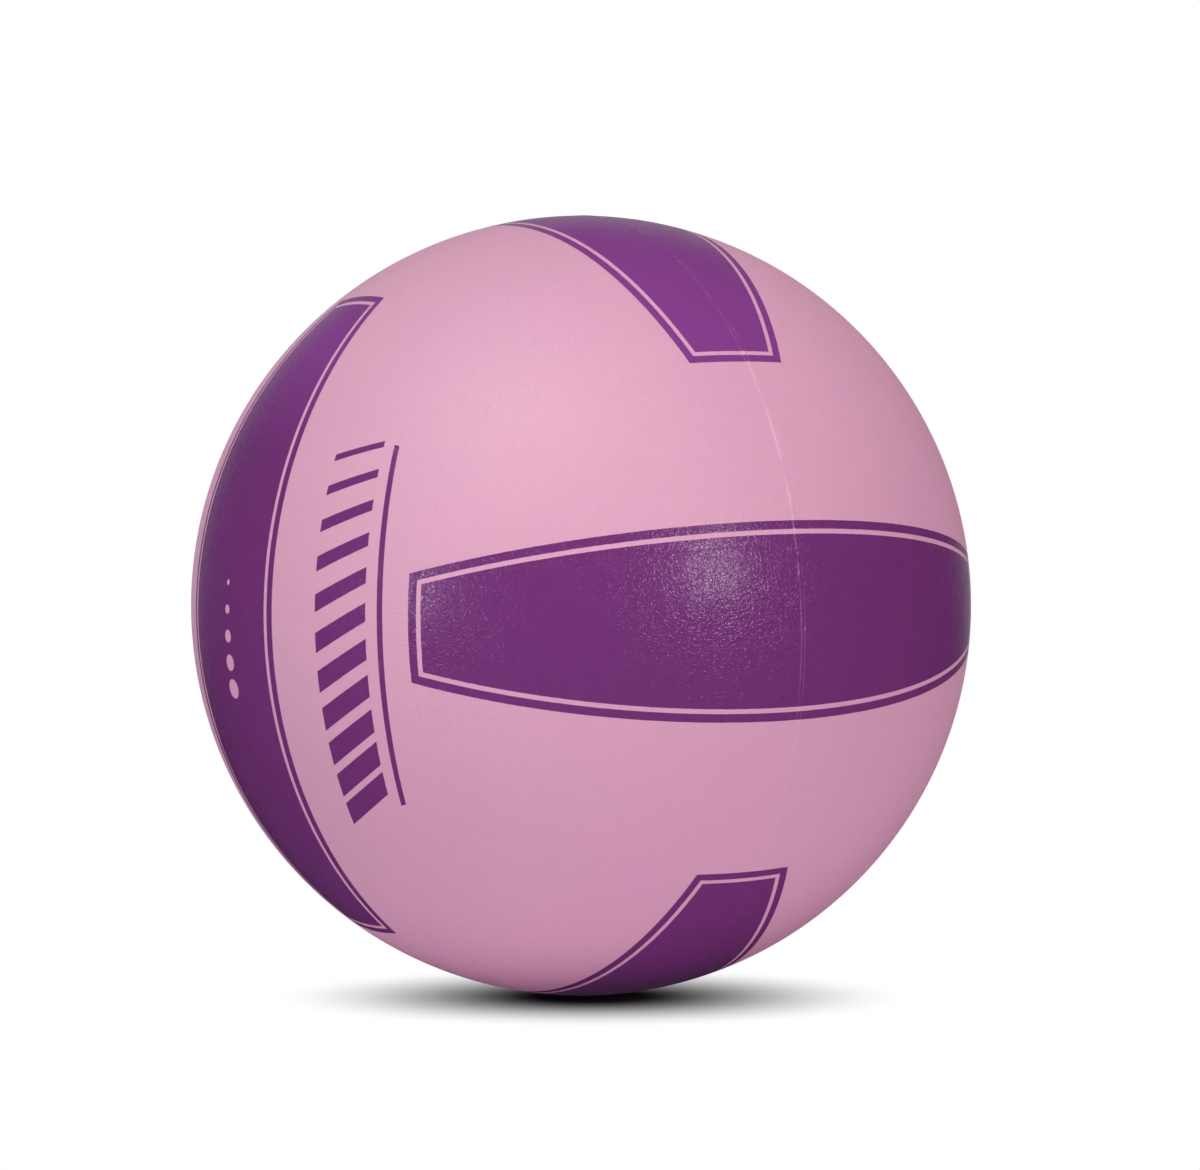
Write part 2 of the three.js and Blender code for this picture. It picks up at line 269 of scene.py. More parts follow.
pale = math(tree, "MULTIPLY", pale.outputs[0], off_the_foot.outputs[0])
# The cloth and the wall are no lamps but glow by themselves: a painted reflection, seen only in the
# gloss.
tone = wired(tree, "Mix", {0: pale, 6: CLOTH_DARK, 7: WALL_PALE}, data_type="RGBA")
glow = wired(tree, "Emission", {"Color": tone.outputs[2], "Strength": 1.0})
wired(tree, "OutputMaterial", {"Surface": glow.outputs[0]})
walls_mesh.materials.append(glowing_cloth)
walls = bpy.data.objects.new("walls", walls_mesh)
walls.visible_camera = walls.visible_diffuse = walls.visible_shadow = False
scene.collection.objects.link(walls)

# Bladder. The airtight balloon of butyl rubber in the middle of the ball, moulded in one piece
# with a round opening for the valve. It is a little dusty with talc, which keeps it from sticking.
BLADDER_OUTER = 0.102394
BLADDER_INNER = 0.101944
NECK_HOLE = 0.0053
SHELL_TURNS = 128
SHELL_RINGS = 64
CREASE_ANGLE = radians(35)
TALC_SCALE = 60.0
TALC_FROM, TALC_TO, TALC_STRENGTH = 0.45, 0.75, 0.5
BLADDER_ROUGHNESS, TALC_ROUGHNESS = 0.42, 0.75
BLADDER_GRAIN_SCALE, BLADDER_GRAIN_DEPTH = 900.0, 0.00003


def srgb(red, green, blue):
    """A colour given in the usual 0 to 255 values, as the linear light that shaders take."""
    scaled = (channel / 255 for channel in (red, green, blue))
    return (*(c / 12.92 if c <= 0.04045 else ((c + 0.055) / 1.055) ** 2.4 for c in scaled), 1)


def finish_mesh(tools, name):
    """The mesh of a piece, smooth but for its creases, and its object in the scene."""
    for face in tools.faces:
        face.smooth = True
    for edge in tools.edges:
        edge.smooth = len(edge.link_faces) == 2 and edge.calc_face_angle(0) < CREASE_ANGLE
    mesh = bpy.data.meshes.new(name)
    tools.to_mesh(mesh)
    tools.free()
    piece = bpy.data.objects.new(name, mesh)
    scene.collection.objects.link(piece)
    return piece


def turned_piece(name, profile, turns, rounding=0.0):
    """A ring or shell turned about the valve's axis from a closed profile of (distance, height)
    points, with its corners rounded."""
    tools = bmesh.new()
    corners = [tools.verts.new((distance, height, 0)) for distance, height in profile]
    for corner, after in zip(corners, corners[1:] + corners[:1]):
        if corner.co.x > 0 or after.co.x > 0:
            tools.edges.new((corner, after))
    if rounding:
        bmesh.ops.bevel(
            tools,
            geom=tools.verts[:],
            offset=rounding,
            affect="VERTICES",
            segments=3,
            profile=0.5,
            material=-1,
        )
    bmesh.ops.spin(
        tools,
        geom=tools.verts[:] + tools.edges[:],
        cent=(0, 0, 0),
        axis=(0, 1, 0),
        angle=2 * pi,
        steps=turns,
        use_merge=True,
    )
    bmesh.ops.remove_doubles(tools, verts=tools.verts, dist=1e-6)
    bmesh.ops.recalc_face_normals(tools, faces=tools.faces)
    return finish_mesh(tools, name)


def dome_arc(radius, start, end, steps):
    """Points along a sphere's outline between two distances from the valve's axis."""
    angles = asin(start / radius), asin(end / radius)
    turns = (angles[0] + (angles[1] - angles[0]) * step / steps for step in range(steps + 1))
    return [(radius * sin(turn), radius * cos(turn)) for turn in turns]


def shell_profile(outer, inner):
    """Outline of a hollow ball, cut open round the valve's neck."""
    points = []
    for radius, order in ((outer, 1), (inner, -1)):
        edge = asin(NECK_HOLE / radius)
        angles = [edge + (pi - edge) * ring / SHELL_RINGS for ring in range(SHELL_RINGS + 1)]
        arc = [(radius * sin(angle), radius * cos(angle)) for angle in angles]
        arc[-1] = (0, -radius)
        points += arc[::order]
    return points


def material_of(name):
    """A new material, with its node tree and the shader that the finish feeds."""
    made = bpy.data.materials.new(name)
    made.use_nodes = True
    tree = made.node_tree
    shader = tree.nodes["Principled BSDF"]
    return made, tree, shader


def dress(piece, material, node):
    """Gives a piece its finish and its body, and hides the solid whose place it takes."""
    piece.data.materials.append(material)
    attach(piece, "root")
    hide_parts(node)


BUTYL_BLACK = srgb(28, 28, 31)
TALC_GREY = srgb(92, 92, 96)

bladder_rubber, tree, shader = material_of("bladder_rubber")
place = wired(tree, "TexCoord").outputs["Object"]
talc = wired(tree, "TexNoise", {"Vector": place, "Scale": TALC_SCALE, "Detail": 5.0, "Roughness": 0.6})
dusted = wired(
    tree,
    "MapRange",
    {
        "Value": talc.outputs["Fac"],
        "From Min": TALC_FROM,
        "From Max": TALC_TO,
        "To Max": TALC_STRENGTH,
    },
)
shade = wired(
    tree,
    "Mix",
    {0: dusted.outputs[0], 6: BUTYL_BLACK, 7: TALC_GREY},
    data_type="RGBA",
)
tree.links.new(shade.outputs[2], shader.inputs["Base Color"])
dull = wired(
    tree,
    "MapRange",
    {"Value": talc.outputs["Fac"], "To Min": BLADDER_ROUGHNESS, "To Max": TALC_ROUGHNESS},
)
tree.links.new(dull.outputs[0], shader.inputs["Roughness"])
fine = wired(tree, "TexNoise", {"Vector": place, "Scale": BLADDER_GRAIN_SCALE, "Detail": 3.0})
bump = wired(tree, "Bump", {"Height": fine.outputs["Fac"], "Distance": BLADDER_GRAIN_DEPTH})
tree.links.new(bump.outputs[0], shader.inputs["Normal"])

bladder = turned_piece("bladder_shell", shell_profile(BLADDER_OUTER, BLADDER_INNER), SHELL_TURNS)
dress(bladder, bladder_rubber, "bladder")

# Valve patch. A disc of the same rubber, cut round with a skived edge and cemented inside the
# bladder, where it strengthens the wall round the valve.
PATCH_OUTER = 0.101148
PATCH_INNER = 0.100348
PATCH_RADIUS = 0.020
PATCH_EDGE_TAPER = 0.0015
PATCH_ARC_STEPS = 12
VALVE_TURNS = 96

patch_profile = dome_arc(PATCH_INNER, NECK_HOLE, PATCH_RADIUS - PATCH_EDGE_TAPER, PATCH_ARC_STEPS)
patch_profile += dome_arc(PATCH_OUTER, PATCH_RADIUS, NECK_HOLE, PATCH_ARC_STEPS)
patch = turned_piece("patch_disc", patch_profile, VALVE_TURNS)
dress(patch, bladder_rubber, "valve_patch")

# Valve body. Moulded black rubber: a neck that comes up flush through the plies, a domed flange
# cemented under the patch, and a turret that closes round the core's bulb.
NECK_RADIUS = 0.005
NECK_EDGE_ROUNDING = 0.0003
FLANGE_RADIUS = 0.014
FLANGE_OUTER = 0.100048
FLANGE_INNER = 0.098748
FLANGE_EDGE_THICKNESS = 0.0006
FLANGE_ARC_STEPS = 6
TURRET_LENGTH = 0.007
TURRET_ROOT_WALL = 0.0019
TURRET_TIP_WALL = 0.0012
TURRET_FLOOR = 0.0014
SOCKET_HEAD_RADIUS = 0.003
SOCKET_THROAT_RADIUS = 0.0021
SOCKET_BULB_RADIUS = 0.0027
CORE_CLEARANCE = 0.0003
CORE_HEAD_DEPTH = 0.0015
CORE_BULB_LENGTH = 0.0032
CORE_BULB_TAPER = 0.0012
NEEDLE_WAY_RADIUS = 0.0006
VALVE_BLACK = srgb(30, 29, 33)
VALVE_BLACK_PALER = srgb(46, 44, 49)
VALVE_CLOUD_SCALE = 350.0
VALVE_ROUGHNESS_LOW, VALVE_ROUGHNESS_HIGH = 0.38, 0.6
VALVE_GRAIN_SCALE, VALVE_GRAIN_DEPTH = 2500.0, 0.00002

valve_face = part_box("valve_body")[1].y
socket_seat = valve_face - CORE_HEAD_DEPTH - CORE_CLEARANCE
turret_tip = FLANGE_INNER - TURRET_LENGTH
socket_floor = turret_tip + TURRET_FLOOR
socket_bulb_top = socket_floor + CORE_BULB_LENGTH + 2 * CORE_CLEARANCE
turret_root = SOCKET_BULB_RADIUS + TURRET_ROOT_WALL

body_profile = [
    (NEEDLE_WAY_RADIUS, turret_tip),
    (SOCKET_BULB_RADIUS + TURRET_TIP_WALL, turret_tip),
    (turret_root, sqrt(FLANGE_INNER**2 - turret_root**2)),
    (FLANGE_RADIUS, sqrt((FLANGE_OUTER - FLANGE_EDGE_THICKNESS) ** 2 - FLANGE_RADIUS**2)),
    *dome_arc(FLANGE_OUTER, FLANGE_RADIUS, NECK_RADIUS, FLANGE_ARC_STEPS),
    (NECK_RADIUS, valve_face),
    (SOCKET_HEAD_RADIUS, valve_face),
    (SOCKET_HEAD_RADIUS, socket_seat),
    (SOCKET_THROAT_RADIUS, socket_seat),
    (SOCKET_THROAT_RADIUS, socket_bulb_top),
    (SOCKET_BULB_RADIUS, socket_bulb_top - CORE_BULB_TAPER),
    (SOCKET_BULB_RADIUS, socket_floor),
    (NEEDLE_WAY_RADIUS, socket_floor),
]

valve_rubber, tree, shader = material_of("valve_rubber")
place = wired(tree, "TexCoord").outputs["Object"]
cloud = wired(tree, "TexNoise", {"Vector": place, "Scale": VALVE_CLOUD_SCALE, "Detail": 4.0})
shade = wired(
    tree,
    "Mix",
    {0: cloud.outputs["Fac"], 6: VALVE_BLACK, 7: VALVE_BLACK_PALER},
    data_type="RGBA",
)
tree.links.new(shade.outputs[2], shader.inputs["Base Color"])
dull = wired(
    tree,
    "MapRange",
    {
        "Value": cloud.outputs["Fac"],
        "To Min": VALVE_ROUGHNESS_LOW,
        "To Max": VALVE_ROUGHNESS_HIGH,
    },
)
tree.links.new(dull.outputs[0], shader.inputs["Roughness"])
fine = wired(tree, "TexNoise", {"Vector": place, "Scale": VALVE_GRAIN_SCALE, "Detail": 3.0})
bump = wired(tree, "Bump", {"Height": fine.outputs["Fac"], "Distance": VALVE_GRAIN_DEPTH})
tree.links.new(bump.outputs[0], shader.inputs["Normal"])

valve_body = turned_piece("valve_stem", body_profile, VALVE_TURNS, rounding=NECK_EDGE_ROUNDING / 2)
dress(valve_body, valve_rubber, "valve_body")

# Valve core. A soft plug of natural rubber, wetted and pushed into the body until its bulb
# snaps in. Its funnel leads the needle into a way that closes by itself.
CORE_HEAD_RADIUS = 0.0027
CORE_THROAT_RADIUS = 0.0018
CORE_BULB_RADIUS = 0.0024
FUNNEL_WIDENING = 0.0009
FUNNEL_DEPTH = 0.0024
CORE_EDGE_ROUNDING = 0.0001
CORE_CREAM = srgb(205, 196, 174)
CORE_CREAM_PALER = srgb(222, 214, 196)
CORE_CLOUD_SCALE = 500.0
CORE_ROUGHNESS_LOW, CORE_ROUGHNESS_HIGH = 0.35, 0.55
CORE_GRAIN_DEPTH = 0.00004

core_floor = socket_floor + CORE_CLEARANCE
core_bulb_top = socket_bulb_top - CORE_CLEARANCE
core_profile = [
    (NEEDLE_WAY_RADIUS, core_floor),
    (CORE_BULB_RADIUS, core_floor),
    (CORE_BULB_RADIUS, core_bulb_top - CORE_BULB_TAPER),
    (CORE_THROAT_RADIUS, core_bulb_top),
    (CORE_THROAT_RADIUS, socket_seat + CORE_CLEARANCE),
    (CORE_HEAD_RADIUS, socket_seat + CORE_CLEARANCE),
    (CORE_HEAD_RADIUS, valve_face),
    (NEEDLE_WAY_RADIUS + FUNNEL_WIDENING, valve_face),
    (NEEDLE_WAY_RADIUS, valve_face - FUNNEL_DEPTH),
]

core_rubber, tree, shader = material_of("soft_core_rubber")
place = wired(tree, "TexCoord").outputs["Object"]
cloud = wired(tree, "TexNoise", {"Vector": place, "Scale": CORE_CLOUD_SCALE, "Detail": 4.0})
shade = wired(
    tree,
    "Mix",
    {0: cloud.outputs["Fac"], 6: CORE_CREAM, 7: CORE_CREAM_PALER},
    data_type="RGBA",
)
tree.links.new(shade.outputs[2], shader.inputs["Base Color"])
dull = wired(
    tree,
    "MapRange",
    {"Value": cloud.outputs["Fac"], "To Min": CORE_ROUGHNESS_LOW, "To Max": CORE_ROUGHNESS_HIGH},
)
tree.links.new(dull.outputs[0], shader.inputs["Roughness"])
bump = wired(tree, "Bump", {"Height": cloud.outputs["Fac"], "Distance": CORE_GRAIN_DEPTH})
tree.links.new(bump.outputs[0], shader.inputs["Normal"])

valve_core = turned_piece("valve_plug", core_profile, VALVE_TURNS, rounding=CORE_EDGE_ROUNDING)
dress(valve_core, core_rubber, "valve_core")

# Winding. Some two kilometres of nylon thread, wound round the bladder in every direction and set
# in latex, so that the carcass keeps its shape and size.
WINDING_OUTER = 0.103094
WINDING_INNER = 0.102694
THREAD_PITCH = 0.0009
THREAD_WANDER, THREAD_WANDER_SCALE = 0.01, 14.0
THREAD_CROSSING_SOFTNESS = 0.3
THREAD_DEPTH = 0.00012
LATEX_AMBER = srgb(176, 158, 120)
NYLON_WHITE = srgb(232, 226, 210)
LATEX_ROUGHNESS, NYLON_ROUGHNESS = 0.45, 0.8
WINDING_TURNS = ((0, 0, 0), (58, 10, 0), (20, 75, 35), (115, 30, 60), (80, 140, 15))

wound_thread, tree, shader = material_of("latexed_nylon_thread")
place = wired(tree, "TexCoord").outputs["Object"]
height = None
for turn in WINDING_TURNS:
    rotation = tuple(radians(angle) for angle in turn)
    lay = wired(tree, "Mapping", {"Vector": place, "Rotation": rotation})
    wander = wired(tree, "TexNoise", {"Vector": lay.outputs[0], "Scale": THREAD_WANDER_SCALE})
    axis = wired(tree, "SeparateXYZ", {0: lay.outputs[0]}).outputs["Z"]
    shifted = math(tree, "MULTIPLY_ADD", wander.outputs["Fac"], THREAD_WANDER, axis)
    strand = math(tree, "SINE", math(tree, "MULTIPLY", shifted, 2 * pi / THREAD_PITCH))
    if height is None:
        height = strand
    else:
        height = math(tree, "SMOOTH_MAX", height, strand, THREAD_CROSSING_SOFTNESS)
covered = wired(tree, "MapRange", {"Value": height, "From Min": -1.0, "From Max": 1.0})
shade = wired(
    tree,
    "Mix",
    {0: covered.outputs[0], 6: LATEX_AMBER, 7: NYLON_WHITE},
    data_type="RGBA",
)
tree.links.new(shade.outputs[2], shader.inputs["Base Color"])
dull = wired(
    tree,
    "MapRange",
    {"Value": covered.outputs[0], "To Min": LATEX_ROUGHNESS, "To Max": NYLON_ROUGHNESS},
)
tree.links.new(dull.outputs[0], shader.inputs["Roughness"])
bump = wired(tree, "Bump", {"Height": covered.outputs[0], "Distance": THREAD_DEPTH})
tree.links.new(bump.outputs[0], shader.inputs["Normal"])

winding = turned_piece("thread_carcass", shell_profile(WINDING_OUTER, WINDING_INNER), SHELL_TURNS)
dress(winding, wound_thread, "winding")

# Cover. 18 panels of calendered rubber, three to a face, are laid edge to edge on the carcass and
# cured together in a two-part mould. The mould leaves a shallow groove over each joint, a pebble
# grain, and a low buffed ridge where its halves met in the plane Y = 0.
BALL_RADIUS = 0.105
COVER_THICKNESS = 0.0011
MIDDLE_STRIP_HALF_WIDTH = 0.0245
MIDDLE_STRIP_END_HALF_WIDTH = 0.0157
GROOVE_HALF_WIDTH = 0.0011
GROOVE_DEPTH = 0.00004
RIDGE_HALF_WIDTH = 0.00055
RIDGE_SLOPE_WIDTH = 0.00014
RIDGE_HEIGHT = 0.00007
RIDGE_LOW_FROM, RIDGE_LOW_TO = -0.004, -0.030
RIDGE_LEFT_BELOW = 0.25
RIDGE_WANDER, RIDGE_WANDER_SCALE = 0.00008, 900
RIDGE_REACH = 3 * RIDGE_HALF_WIDTH
RIDGE_CUTS = (-1.25, -1, -0.75, 0.75, 1, 1.25)
BUFFING_MEAN, BUFFING_SWING = 0.75, 0.5
BUFFING_SCALE_LONG, BUFFING_SCALE_SHORT = 120, 700
VALVE_RINGS = (
    *(0.0100, 0.0092, 0.0084, 0.0080, 0.0076, 0.0072),
    *(0.0068, 0.0062, 0.0058, 0.0055, 0.0053),
)
VALVE_RIM_EVENING = 0.35
VALVE_LIP_RADIUS = 0.0004
VALVE_MARK_RADIUS = 0.0076
VALVE_MARK_HALF_WIDTH = 0.0008
VALVE_MARK_DEPTH = 0.00014
PANEL_STEPS_ALONG = 160
PANEL_STEPS_ACROSS = 72
STEPS_BUNCHED = 0.85
SOLVE_PASSES = 12
# Middle and half size of the two parts of a panel's own map, and how far the rim reaches past it:
# out from the panel's edge, and in where the valve's hole is cut.
MAP_OUTSIDE_MIDDLE, MAP_OUTSIDE_HALF = (0.5, 0.42), (0.495, 0.415)
MAP_INSIDE_MIDDLE, MAP_INSIDE_HALF = (0.5, 0.92), (0.47, 0.065)
MAP_EDGE_FROM, MAP_EDGE_REACH, MAP_HOLE_REACH = 0.9, 1.03, 0.9

FACE_EDGE = 1 / sqrt(3)
middle_angle = MIDDLE_STRIP_HALF_WIDTH / BALL_RADIUS
end_angle = MIDDLE_STRIP_END_HALF_WIDTH / BALL_RADIUS
joint_slope = (sin(middle_angle) - sin(end_angle)) / (cos(middle_angle) - FACE_EDGE)
joint_offset = sin(middle_angle) - joint_slope * cos(middle_angle)
joint_steepness = hypot(1, joint_slope)
face_side_latitude = asin(FACE_EDGE)

X, Y, Z = Vector((1, 0, 0)), Vector((0, 1, 0)), Vector((0, 0, 1))
FACES = {
    # face: the direction it looks in, the direction its strips run in, its low and high side
    "front": (X, Y, "lower", "upper"),
    "back": (-X, Y, "upper", "lower"),
    "top": (Z, X, "left", "right"),
    "bottom": (-Z, X, "right", "left"),
    "right": (Y, Z, "back", "front"),
    "left": (-Y, Z, "front", "back"),
}


def joint_latitude(longitude):
    """Latitude across a face of the joint between its middle strip and a side strip."""
    tilt = joint_slope * cos(longitude)
    return atan(tilt) + asin(joint_offset / hypot(1, tilt))


def face_end_longitude(latitude):
    return acos(FACE_EDGE / cos(latitude))


STRIP_EDGES = {
    "middle": lambda longitude: (-joint_latitude(longitude), joint_latitude(longitude)),
    "low": lambda longitude: (-face_side_latitude, -joint_latitude(longitude)),
    "high": lambda longitude: (joint_latitude(longitude), face_side_latitude),
}


def strip_point(face, strip, along_share, across_share):
    """Point of the ball's surface at a place on a strip, from -1 to 1 each way. Ends and edges
    depend a little on each other, so the two angles are settled in turn."""
    out, along = FACES[face][:2]
    longitude = 0
    for _ in range(SOLVE_PASSES):
        low, high = STRIP_EDGES[strip](longitude)
        latitude = low + (high - low) * (across_share + 1) / 2
        longitude = along_share * face_end_longitude(latitude)
    outward = out * cos(longitude) + along * sin(longitude)
    return (outward * cos(latitude) + out.cross(along) * sin(latitude)) * BALL_RADIUS


def strip_shares(face, strip, point):
    """Where a point lies on a strip, from -1 to 1 each way."""
    out, along = FACES[face][:2]
    away = point.normalized()
    latitude = asin(away.dot(out.cross(along)))
    longitude = atan2(away.dot(along), away.dot(out))
    low, high = STRIP_EDGES[strip](longitude)
    return longitude / face_end_longitude(latitude), 2 * (latitude - low) / (high - low) - 1


def joint_distance(face, strip, point):
    """Distance over the surface to the nearest edge of a panel."""
    out, along = FACES[face][:2]
    away = point.normalized()
    height, across = away.dot(out), abs(away.dot(out.cross(along)))
    to_joint = acos(joint_offset / joint_steepness) - acos(
        min(1, (across - joint_slope * height) / joint_steepness)
    )
    angles = [acos(FACE_EDGE) - acos(min(1, height)), abs(to_joint)]
    if strip != "middle":
        angles.append(face_side_latitude - asin(min(1, across)))
    return BALL_RADIUS * max(0, min(angles))


def valve_relief(point):
    """The hole's rounded lip and the shallow moulded ring round it."""
    from_axis = hypot(point.x, point.z)
    relief = 0
    into_lip = (VALVE_RINGS[-1] + VALVE_LIP_RADIUS - from_axis) / VALVE_LIP_RADIUS
    if into_lip > 0:
        relief -= VALVE_LIP_RADIUS * (1 - sqrt(max(0, 1 - into_lip**2)))
    share = abs(from_axis - VALVE_MARK_RADIUS) / VALVE_MARK_HALF_WIDTH
    if share < 1:
        relief -= VALVE_MARK_DEPTH * (1 + cos(pi * share)) / 2
    return relief


def mould_relief(face, strip, point):
    """Height of the moulded surface over the plain ball: a round groove along the joints, and the
    ridge of the parting line, which wanders and is buffed down most on the lower half."""
    relief = 0
    share = joint_distance(face, strip, point) / GROOVE_HALF_WIDTH
    if share < 1:
        relief -= GROOVE_DEPTH * (1 + cos(pi * share)) / 2
    if abs(point.y) < RIDGE_REACH:
        wander = RIDGE_WANDER * noise.noise(point * RIDGE_WANDER_SCALE)
        over = (RIDGE_HALF_WIDTH - abs(point.y + wander)) / RIDGE_SLOPE_WIDTH
        lower = min(1, max(0, (point.z - RIDGE_LOW_FROM) / (RIDGE_LOW_TO - RIDGE_LOW_FROM)))
        left_by_buffing = BUFFING_MEAN + BUFFING_SWING * noise.noise(point * BUFFING_SCALE_LONG)
        left_by_buffing += BUFFING_SWING * noise.noise(point * BUFFING_SCALE_SHORT)
        left_by_buffing *= 1 - (1 - RIDGE_LEFT_BELOW) * lower
        relief += RIDGE_HEIGHT * left_by_buffing * min(1, max(0, over))
    if point.y > 0:
        relief += valve_relief(point)
    return relief


def bunched(share):
    """Moves an even step closer to the nearer edge, where the groove is."""
    return share + STEPS_BUNCHED * sin(pi * share) / pi


def lay_out_flat(tools, face, strip):
    """The panel's own map: the outside unrolled flat, with the inside and the rim above it."""
    layer = tools.loops.layers.uv.new("OFBake")
    skin = BALL_RADIUS - COVER_THICKNESS / 2
    for side in tools.faces:
        outside = [loop.vert.co.length > skin for loop in side.loops]
        for loop, outer in zip(side.loops, outside):
            along, across = strip_shares(face, strip, loop.vert.co)
            middle, half, reach = MAP_OUTSIDE_MIDDLE, MAP_OUTSIDE_HALF, 1.0
            if not all(outside):
                middle, half = MAP_INSIDE_MIDDLE, MAP_INSIDE_HALF
                if outer:
                    at_edge = max(abs(along), abs(across)) > MAP_EDGE_FROM
                    reach = MAP_EDGE_REACH if at_edge else MAP_HOLE_REACH
            loop[layer].uv = (
                middle[0] + half[0] * along * reach,
                middle[1] + half[1] * across * reach,
            )


def valve_turn(vert):
    """Angle round the valve's axis."""
    return atan2(vert.co.x, vert.co.z)


def cut_valve_hole(tools):
    """Opens the panel round the valve. The faces there are taken out, the cut edge is drawn round,
    and then it is run inward ring by ring up to the valve's neck, ever more evenly spaced."""
    covered = [
        face
        for face in tools.faces
        if hypot(face.calc_center_median().x, face.calc_center_median().z) < VALVE_RINGS[0]
    ]
    bmesh.ops.delete(tools, geom=covered, context="FACES")
    rim = [
        edge
        for edge in tools.edges
        if edge.is_boundary and hypot(edge.verts[0].co.x, edge.verts[0].co.z) < 2 * VALVE_RINGS[0]
    ]
    for radius in VALVE_RINGS:
        evening = 0
        if radius != VALVE_RINGS[0]:
            evening = VALVE_RIM_EVENING
            grown = bmesh.ops.extrude_edge_only(tools, edges=rim)["geom"]
            rim = [
                edge for edge in grown if isinstance(edge, bmesh.types.BMEdge) and edge.is_boundary
            ]
        verts = sorted({vert for edge in rim for vert in edge.verts}, key=valve_turn)
        turns = [valve_turn(vert) for vert in verts]
        pitch = 2 * pi / len(verts)
        first = sum(turns) / len(turns) - pitch * (len(turns) - 1) / 2
        height = sqrt(BALL_RADIUS**2 - radius**2)
        for place, (vert, turn) in enumerate(zip(verts, turns)):
            turn += evening * (first + place * pitch - turn)
            vert.co = radius * sin(turn), height, radius * cos(turn)


def panel_piece(face, strip, name):
    tools = bmesh.new()
    bmesh.ops.create_grid(
        tools,
        x_segments=PANEL_STEPS_ALONG,
        y_segments=PANEL_STEPS_ACROSS,
        size=1,
    )
    for vert in tools.verts:
        vert.co = strip_point(face, strip, bunched(vert.co.x), bunched(vert.co.y))
    if (face, strip) == ("right", "middle"):
        cut_valve_hole(tools)
    for share in RIDGE_CUTS:
        bmesh.ops.bisect_plane(
            tools,
            geom=tools.verts[:] + tools.edges[:] + tools.faces[:],
            dist=1e-7,
            plane_co=(0, share * RIDGE_HALF_WIDTH, 0),
            plane_no=(0, 1, 0),
        )
    for vert in tools.verts:
        vert.co = vert.co.normalized() * BALL_RADIUS
    bmesh.ops.solidify(tools, geom=tools.faces[:], thickness=COVER_THICKNESS)
    for vert in tools.verts:
        if vert.co.length > BALL_RADIUS - COVER_THICKNESS / 2:
            away = vert.co.normalized()
            vert.co = away * (BALL_RADIUS + mould_relief(face, strip, vert.co))
    lay_out_flat(tools, face, strip)
    return finish_mesh(tools, name)


# Print. Purple ink is screened on the cured cover: along the middle strip of each face a band
# with a thin bare line inside its border. It sits a little askew on the moulded joints.
PRINT_ASKEW = (-0.47, -2.76, -2.50)
BAND_HALF_LENGTH = 0.9157
BAND_END_ROUNDING = 0.1563
BAND_HALF_WIDTH = 0.2369
BAND_NARROWING = 0.1312
BORDER_WIDTH = 0.0022
BARE_LINE_WIDTH = 0.0012
INK_EDGE_SOFTNESS = 0.00008
INK_EDGE_WAVER = 0.00016
INK_EDGE_WAVER_SCALE = 700.0

# A plain ornament on one side strip: a row of slanted bars that thin out upwards, over a line,
# and a row of dots in the left band. Their places are flat coordinates on the face they lie on.
LEFT_FACE_FROM = 0.5
BAR_COUNT = 11
BARS_HALF_LENGTH = 0.56
BARS_MIDDLE = -0.505
BARS_HALF_HEIGHT = 0.095
BAR_SLANT = 0.45
BAR_SHARE_LOW, BAR_SHARE_HIGH = 0.80, 0.22
UNDERLINE_PLACE = -0.655
UNDERLINE_HALF_WIDTH = 0.011
DOT_COUNT = 5
DOT_PITCH = 0.066
DOTS_TOP = 0.13
DOTS_PLACE = -0.03
DOT_RADIUS_TOP, DOT_RADIUS_STEP = 0.007, 0.0045

print_group = bpy.data.node_groups.new("screened_print", "ShaderNodeTree")
print_group.interface.new_socket("Place", in_out="INPUT", socket_type="NodeSocketVector")
print_group.interface.new_socket("Ink", in_out="OUTPUT", socket_type="NodeSocketFloat")


def smallest(tree, *values):
    """The inside distance of what several shapes share."""
    result = values[0]
    for value in values[1:]:
        result = math(tree, "MINIMUM", result, value)
    return result


